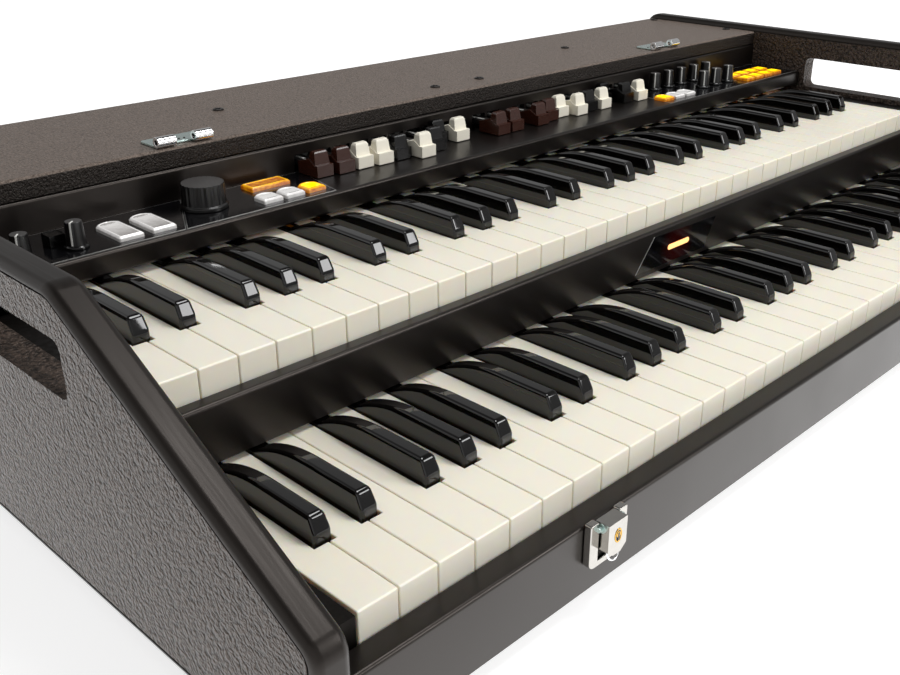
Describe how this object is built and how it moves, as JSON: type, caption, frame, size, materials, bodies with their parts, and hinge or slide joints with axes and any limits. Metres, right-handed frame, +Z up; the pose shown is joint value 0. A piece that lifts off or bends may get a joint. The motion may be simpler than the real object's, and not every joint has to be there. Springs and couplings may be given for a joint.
{
  "type": "drawbar organ",
  "caption": "Two-manual drawbar organ in a low case with handle slots, sliding drawbars, knobs, lit buttons and latches for a lift-off lid.",
  "frame": {"origin": "on the ground under the middle of the case", "axes": "+X to the player's right along the keys, +Y away from the player, +Z up"},
  "size_m": [0.9274, 0.5174, 0.1827],
  "materials": {
    "textured_case": "black-brown textured coating on plywood, satin",
    "satin_black_metal": "satin black powder coat on folded sheet",
    "chassis_metal": "black anodised",
    "guide_plastic": "moulded, matt",
    "ivory_keys": "satin gloss ivory",
    "black_keys": "high gloss black",
    "brown_cap": "satin brown",
    "white_cap": "satin ivory",
    "black_cap": "satin black",
    "knob_plastic": "fine matt black",
    "clear_plastic": "translucent silver white, glossy",
    "amber_plastic": "translucent amber, lit, glossy",
    "chrome": "bright chrome plate",
    "inlet_plastic": "moulded black",
    "circuit_board": "green solder mask"
  },
  "bodies": {
    "case": {"left_side_panel": "textured_case", "right_side_panel": "textured_case", "bottom_board": "textured_case", "top_cover": "textured_case", "rear_panel": "satin_black_metal", "front_apron": "satin_black_metal", "middle_fascia": "satin_black_metal", "control_panel": "satin_black_metal", "drawbar_guide": "guide_plastic", "lower_key_chassis": "chassis_metal", "upper_key_chassis": "chassis_metal", "left_latch_plate": "chrome", "left_hinge_half": "chrome", "right_latch_plate": "chrome", "right_hinge_half": "chrome", "mains_inlet": "inlet_plastic", "main_board": "circuit_board"},
    "lower_white_keys": {"lower_white_keys": "ivory_keys"},
    "lower_black_keys": {"lower_black_keys": "black_keys"},
    "upper_white_keys": {"upper_white_keys": "ivory_keys"},
    "upper_black_keys": {"upper_black_keys": "black_keys"},
    "left_drawbar_1": {"left_drawbar_1": "brown_cap"},
    "left_drawbar_2": {"left_drawbar_2": "brown_cap"},
    "left_drawbar_3": {"left_drawbar_3": "white_cap"},
    "left_drawbar_4": {"left_drawbar_4": "white_cap"},
    "left_drawbar_5": {"left_drawbar_5": "black_cap"},
    "left_drawbar_6": {"left_drawbar_6": "white_cap"},
    "left_drawbar_7": {"left_drawbar_7": "black_cap"},
    "left_drawbar_8": {"left_drawbar_8": "black_cap"},
    "left_drawbar_9": {"left_drawbar_9": "white_cap"},
    "pedal_drawbar_1": {"pedal_drawbar_1": "brown_cap"},
    "pedal_drawbar_2": {"pedal_drawbar_2": "brown_cap"},
    "right_drawbar_1": {"right_drawbar_1": "brown_cap"},
    "right_drawbar_2": {"right_drawbar_2": "brown_cap"},
    "right_drawbar_3": {"right_drawbar_3": "white_cap"},
    "right_drawbar_4": {"right_drawbar_4": "white_cap"},
    "right_drawbar_5": {"right_drawbar_5": "black_cap"},
    "right_drawbar_6": {"right_drawbar_6": "white_cap"},
    "right_drawbar_7": {"right_drawbar_7": "black_cap"},
    "right_drawbar_8": {"right_drawbar_8": "black_cap"},
    "right_drawbar_9": {"right_drawbar_9": "white_cap"},
    "left_knob_1": {"left_knob_1": "knob_plastic"},
    "left_knob_2": {"left_knob_2": "knob_plastic"},
    "rear_knob_1": {"rear_knob_1": "knob_plastic"},
    "rear_knob_2": {"rear_knob_2": "knob_plastic"},
    "rear_knob_3": {"rear_knob_3": "knob_plastic"},
    "rear_knob_4": {"rear_knob_4": "knob_plastic"},
    "rear_knob_5": {"rear_knob_5": "knob_plastic"},
    "front_knob_1": {"front_knob_1": "knob_plastic"},
    "front_knob_2": {"front_knob_2": "knob_plastic"},
    "front_knob_3": {"front_knob_3": "knob_plastic"},
    "large_knob": {"large_knob": "knob_plastic"},
    "rocker_1": {"rocker_1": "clear_plastic"},
    "rocker_2": {"rocker_2": "clear_plastic"},
    "slide_switch": {"slide_switch": "knob_plastic"},
    "left_buttons": {"left_buttons": "clear_plastic"},
    "right_buttons": {"right_buttons": "clear_plastic"},
    "preset_buttons": {"preset_buttons": "amber_plastic"},
    "left_latch_hasp": {"left_latch_hasp": "chrome"},
    "right_latch_hasp": {"right_latch_hasp": "chrome"}
  },
  "joints": [
    {"name": "lower_white_keys_press", "type": "hinge", "parent": "case", "child": "lower_white_keys", "pos_m": [0, -0.02925, 0.0563], "axis": [1, 0, 0], "range_deg": [0, 2.8], "stiffness_Nm_per_rad": 30, "springref_deg": -8.59},
    {"name": "lower_black_keys_press", "type": "hinge", "parent": "case", "child": "lower_black_keys", "pos_m": [0, -0.02125, 0.0638], "axis": [1, 0, 0], "range_deg": [0, 3.6], "stiffness_Nm_per_rad": 15, "springref_deg": -8.59},
    {"name": "upper_white_keys_press", "type": "hinge", "parent": "case", "child": "upper_white_keys", "pos_m": [0, 0.11675, 0.1091], "axis": [1, 0, 0], "range_deg": [0, 2.8], "stiffness_Nm_per_rad": 30, "springref_deg": -8.59},
    {"name": "upper_black_keys_press", "type": "hinge", "parent": "case", "child": "upper_black_keys", "pos_m": [0, 0.12475, 0.1166], "axis": [1, 0, 0], "range_deg": [0, 3.6], "stiffness_Nm_per_rad": 15, "springref_deg": -8.59},
    {"name": "left_drawbar_1_slide", "type": "slide", "parent": "case", "child": "left_drawbar_1", "axis": [0, -1, 0], "range_m": [-0.0112, 0.0208]},
    {"name": "left_drawbar_2_slide", "type": "slide", "parent": "case", "child": "left_drawbar_2", "axis": [0, -1, 0], "range_m": [-0.01376, 0.01824]},
    {"name": "left_drawbar_3_slide", "type": "slide", "parent": "case", "child": "left_drawbar_3", "axis": [0, -1, 0], "range_m": [-0.01344, 0.01856]},
    {"name": "left_drawbar_4_slide", "type": "slide", "parent": "case", "child": "left_drawbar_4", "axis": [0, -1, 0], "range_m": [-0.01536, 0.01664]},
    {"name": "left_drawbar_5_slide", "type": "slide", "parent": "case", "child": "left_drawbar_5", "axis": [0, -1, 0], "range_m": [-0.01536, 0.01664]},
    {"name": "left_drawbar_6_slide", "type": "slide", "parent": "case", "child": "left_drawbar_6", "axis": [0, -1, 0], "range_m": [-0.02336, 0.00864]},
    {"name": "left_drawbar_7_slide", "type": "slide", "parent": "case", "child": "left_drawbar_7", "axis": [0, -1, 0], "range_m": [-0.01568, 0.01632]},
    {"name": "left_drawbar_8_slide", "type": "slide", "parent": "case", "child": "left_drawbar_8", "axis": [0, -1, 0], "range_m": [0, 0.032]},
    {"name": "left_drawbar_9_slide", "type": "slide", "parent": "case", "child": "left_drawbar_9", "axis": [0, -1, 0], "range_m": [-0.00608, 0.02592]},
    {"name": "pedal_drawbar_1_slide", "type": "slide", "parent": "case", "child": "pedal_drawbar_1", "axis": [0, -1, 0], "range_m": [-0.01536, 0.01664]},
    {"name": "pedal_drawbar_2_slide", "type": "slide", "parent": "case", "child": "pedal_drawbar_2", "axis": [0, -1, 0], "range_m": [-0.0144, 0.0176]},
    {"name": "right_drawbar_1_slide", "type": "slide", "parent": "case", "child": "right_drawbar_1", "axis": [0, -1, 0], "range_m": [-0.01536, 0.01664]},
    {"name": "right_drawbar_2_slide", "type": "slide", "parent": "case", "child": "right_drawbar_2", "axis": [0, -1, 0], "range_m": [-0.01088, 0.02112]},
    {"name": "right_drawbar_3_slide", "type": "slide", "parent": "case", "child": "right_drawbar_3", "axis": [0, -1, 0], "range_m": [-0.00736, 0.02464]},
    {"name": "right_drawbar_4_slide", "type": "slide", "parent": "case", "child": "right_drawbar_4", "axis": [0, -1, 0], "range_m": [-0.0144, 0.0176]},
    {"name": "right_drawbar_5_slide", "type": "slide", "parent": "case", "child": "right_drawbar_5", "axis": [0, -1, 0], "range_m": [-0.01152, 0.02048]},
    {"name": "right_drawbar_6_slide", "type": "slide", "parent": "case", "child": "right_drawbar_6", "axis": [0, -1, 0], "range_m": [-0.01312, 0.01888]},
    {"name": "right_drawbar_7_slide", "type": "slide", "parent": "case", "child": "right_drawbar_7", "axis": [0, -1, 0], "range_m": [0, 0.032]},
    {"name": "right_drawbar_8_slide", "type": "slide", "parent": "case", "child": "right_drawbar_8", "axis": [0, -1, 0], "range_m": [-0.01184, 0.02016]},
    {"name": "right_drawbar_9_slide", "type": "slide", "parent": "case", "child": "right_drawbar_9", "axis": [0, -1, 0], "range_m": [-0.01472, 0.01728]},
    {"name": "left_knob_1_turn", "type": "hinge", "parent": "case", "child": "left_knob_1", "pos_m": [-0.41321, 0.06879, 0.1394], "axis": [0, 0, 1], "range_deg": [-270, 10]},
    {"name": "left_knob_2_turn", "type": "hinge", "parent": "case", "child": "left_knob_2", "pos_m": [-0.38072, 0.06879, 0.1394], "axis": [0, 0, 1], "range_deg": [-270, 10]},
    {"name": "rear_knob_1_turn", "type": "hinge", "parent": "case", "child": "rear_knob_1", "pos_m": [0.24549, 0.10104, 0.1394], "axis": [0, 0, 1], "range_deg": [-270, 10]},
    {"name": "rear_knob_2_turn", "type": "hinge", "parent": "case", "child": "rear_knob_2", "pos_m": [0.26819, 0.10104, 0.1394], "axis": [0, 0, 1], "range_deg": [-270, 10]},
    {"name": "rear_knob_3_turn", "type": "hinge", "parent": "case", "child": "rear_knob_3", "pos_m": [0.29089, 0.10104, 0.1394], "axis": [0, 0, 1], "range_deg": [-270, 10]},
    {"name": "rear_knob_4_turn", "type": "hinge", "parent": "case", "child": "rear_knob_4", "pos_m": [0.31359, 0.10104, 0.1394], "axis": [0, 0, 1], "range_deg": [-270, 10]},
    {"name": "rear_knob_5_turn", "type": "hinge", "parent": "case", "child": "rear_knob_5", "pos_m": [0.33629, 0.10104, 0.1394], "axis": [0, 0, 1], "range_deg": [-270, 10]},
    {"name": "front_knob_1_turn", "type": "hinge", "parent": "case", "child": "front_knob_1", "pos_m": [0.29091, 0.07375, 0.1394], "axis": [0, 0, 1], "range_deg": [-270, 10]},
    {"name": "front_knob_2_turn", "type": "hinge", "parent": "case", "child": "front_knob_2", "pos_m": [0.31361, 0.07375, 0.1394], "axis": [0, 0, 1], "range_deg": [-270, 10]},
    {"name": "front_knob_3_turn", "type": "hinge", "parent": "case", "child": "front_knob_3", "pos_m": [0.33631, 0.07375, 0.1394], "axis": [0, 0, 1], "range_deg": [-270, 10]},
    {"name": "large_knob_turn", "type": "hinge", "parent": "case", "child": "large_knob", "pos_m": [-0.28449, 0.08375, 0.1394], "axis": [0, 0, 1], "range_deg": [-75, 75]},
    {"name": "rocker_1_tilt", "type": "hinge", "parent": "case", "child": "rocker_1", "pos_m": [-0.35014, 0.07685, 0.1394], "axis": [1, 0, 0], "range_deg": [-4, 4]},
    {"name": "rocker_2_tilt", "type": "hinge", "parent": "case", "child": "rocker_2", "pos_m": [-0.3279, 0.07685, 0.1394], "axis": [1, 0, 0], "range_deg": [-4, 4]},
    {"name": "slide_switch_slide", "type": "slide", "parent": "case", "child": "slide_switch", "axis": [0, 1, 0], "range_m": [0, 0.005]},
    {"name": "left_buttons_press", "type": "slide", "parent": "case", "child": "left_buttons", "axis": [0, 0, -1], "range_m": [0, 0.0025], "stiffness_N_per_m": 400, "springref_m": -0.003},
    {"name": "right_buttons_press", "type": "slide", "parent": "case", "child": "right_buttons", "axis": [0, 0, -1], "range_m": [0, 0.0025], "stiffness_N_per_m": 400, "springref_m": -0.003},
    {"name": "preset_buttons_press", "type": "slide", "parent": "case", "child": "preset_buttons", "axis": [0, 0, -1], "range_m": [0, 0.0025], "stiffness_N_per_m": 400, "springref_m": -0.003},
    {"name": "left_hasp_lift", "type": "hinge", "parent": "case", "child": "left_latch_hasp", "pos_m": [-0.27675, -0.25295, 0.0498], "axis": [-1, 0, 0], "range_deg": [0, 100]},
    {"name": "right_hasp_lift", "type": "hinge", "parent": "case", "child": "right_latch_hasp", "pos_m": [0.27675, -0.25295, 0.0498], "axis": [-1, 0, 0], "range_deg": [0, 100]}
  ]
}
